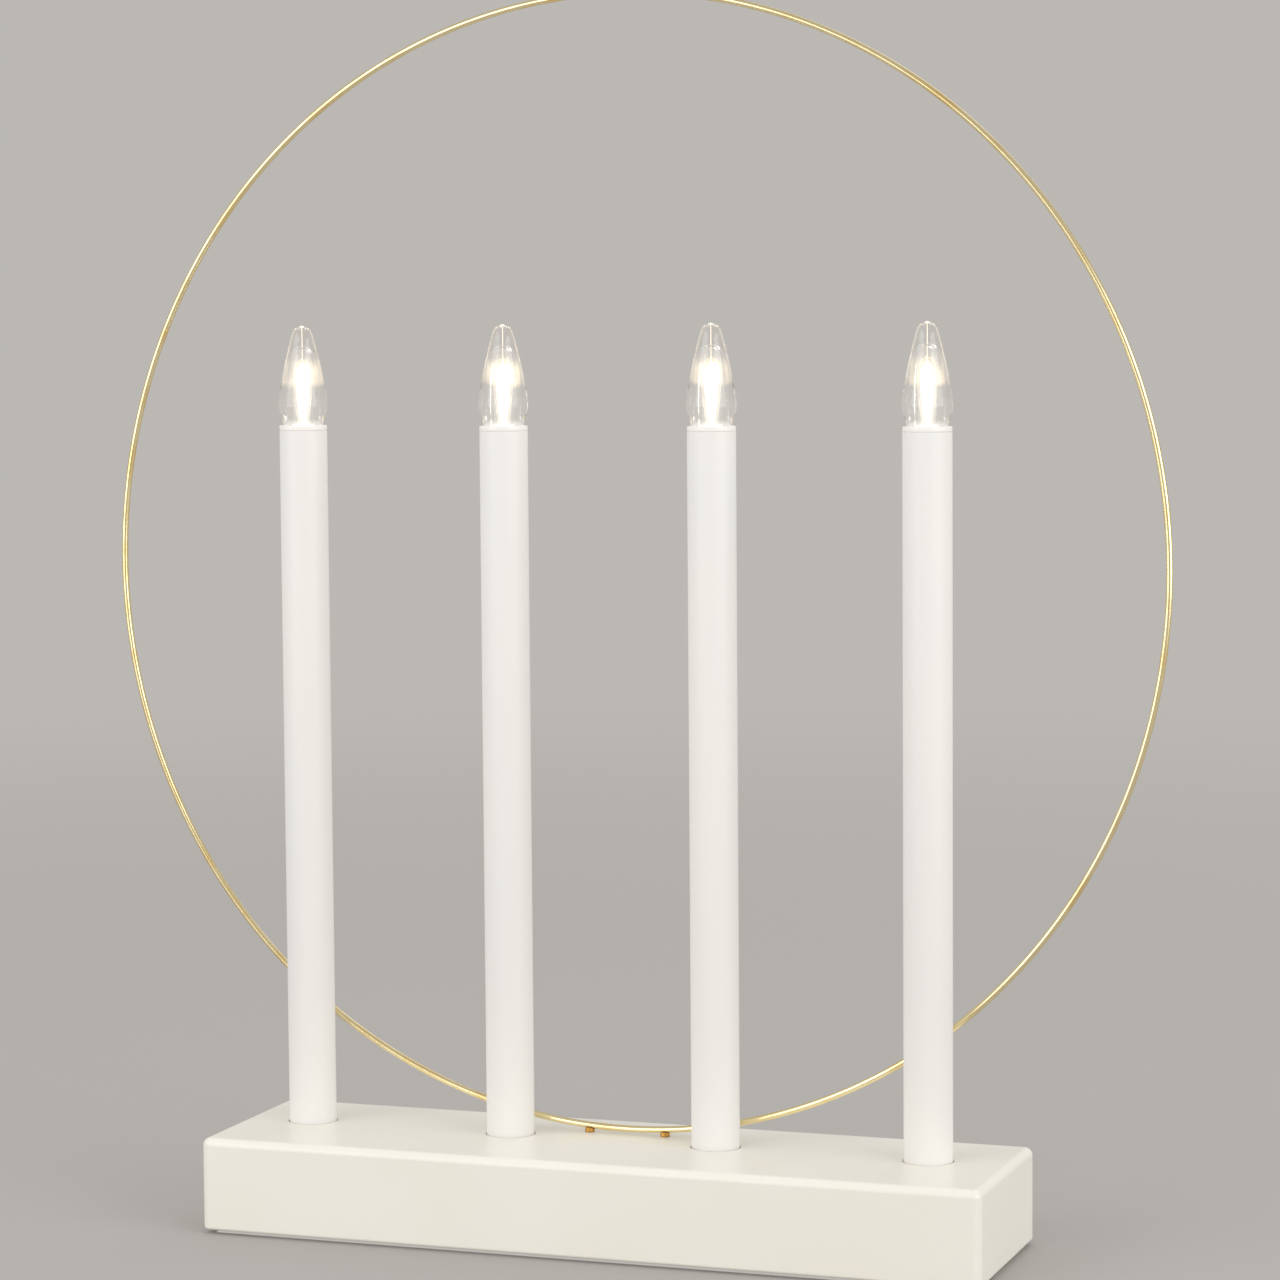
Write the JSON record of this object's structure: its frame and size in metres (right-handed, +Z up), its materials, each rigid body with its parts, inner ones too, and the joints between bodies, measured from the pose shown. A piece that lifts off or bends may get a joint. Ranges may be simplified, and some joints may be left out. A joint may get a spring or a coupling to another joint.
{
  "type": "led candle holder",
  "caption": "Free-standing LED candle holder: slim white candles with clear flames in a row on a painted wooden base, with a thin brass ring standing behind them.",
  "frame": {"origin": "on the floor under the feet, in the middle of the object's box, which is the middle of the base", "axes": "+Z up, +X along the row of candles to the right seen from the front, front towards -Y"},
  "size_m": [0.4144, 0.08, 0.4638],
  "materials": {
    "painted_wood": "satin cream-white paint",
    "white_plastic": "fine grain",
    "steel": "nickel plated",
    "rubber": "matt grey",
    "black_plastic": "fine grain",
    "cell_can": "plain printed sleeve",
    "red_lead": "soft cable sheath",
    "black_lead": "soft cable sheath",
    "white_lead": "soft cable sheath",
    "board": "solder mask",
    "candle_white": "smooth satin",
    "cap_white": "translucent white",
    "led_lens": "clear epoxy, lit",
    "light_guide": "frosted, lit",
    "clear_plastic": "clear, polished",
    "brass": "polished"
  },
  "bodies": {
    "holder": {"base_block": "painted_wood", "bottom_plate": "white_plastic", "plate_screw_1": "steel", "plate_screw_2": "steel", "plate_screw_3": "steel", "plate_screw_4": "steel", "plate_screw_5": "steel", "plate_screw_6": "steel", "foot_1": "rubber", "foot_2": "rubber", "foot_3": "rubber", "foot_4": "rubber", "battery_box": "black_plastic", "cell_1": "cell_can", "cell_2": "cell_can", "cell_3": "cell_can", "contact_plus": "steel", "contact_minus": "steel", "bridge_left": "steel", "bridge_right": "steel", "battery_lead_red": "red_lead", "battery_lead_black": "black_lead", "circuit_board": "board", "board_screw_1": "steel", "board_screw_2": "steel", "timer_chip": "black_plastic", "capacitor": "black_plastic", "switch_case": "steel", "candle_tube_1": "candle_white", "candle_cap_1": "cap_white", "led_1": "led_lens", "light_guide_1": "light_guide", "flame_1": "clear_plastic", "led_lead_1": "white_lead", "candle_tube_2": "candle_white", "candle_cap_2": "cap_white", "led_2": "led_lens", "light_guide_2": "light_guide", "flame_2": "clear_plastic", "led_lead_2": "white_lead", "candle_tube_3": "candle_white", "candle_cap_3": "cap_white", "led_3": "led_lens", "light_guide_3": "light_guide", "flame_3": "clear_plastic", "led_lead_3": "white_lead", "candle_tube_4": "candle_white", "candle_cap_4": "cap_white", "led_4": "led_lens", "light_guide_4": "light_guide", "flame_4": "clear_plastic", "led_lead_4": "white_lead", "ring": "brass", "ring_stud_1": "brass", "ring_stud_2": "brass", "stud_nut_1": "steel", "stud_nut_2": "steel"},
    "cover": {"battery_cover": "white_plastic"},
    "knob": {"switch_knob": "black_plastic"}
  },
  "joints": [
    {"name": "battery_cover_hinge", "type": "hinge", "parent": "holder", "child": "cover", "pos_m": [-0.0604, -0.0226, 0.0037], "axis": [-1, 0, 0], "range_deg": [0, 90]},
    {"name": "switch_slide", "type": "slide", "parent": "holder", "child": "knob", "axis": [1, 0, 0], "range_m": [-0.002, 0.002]}
  ]
}
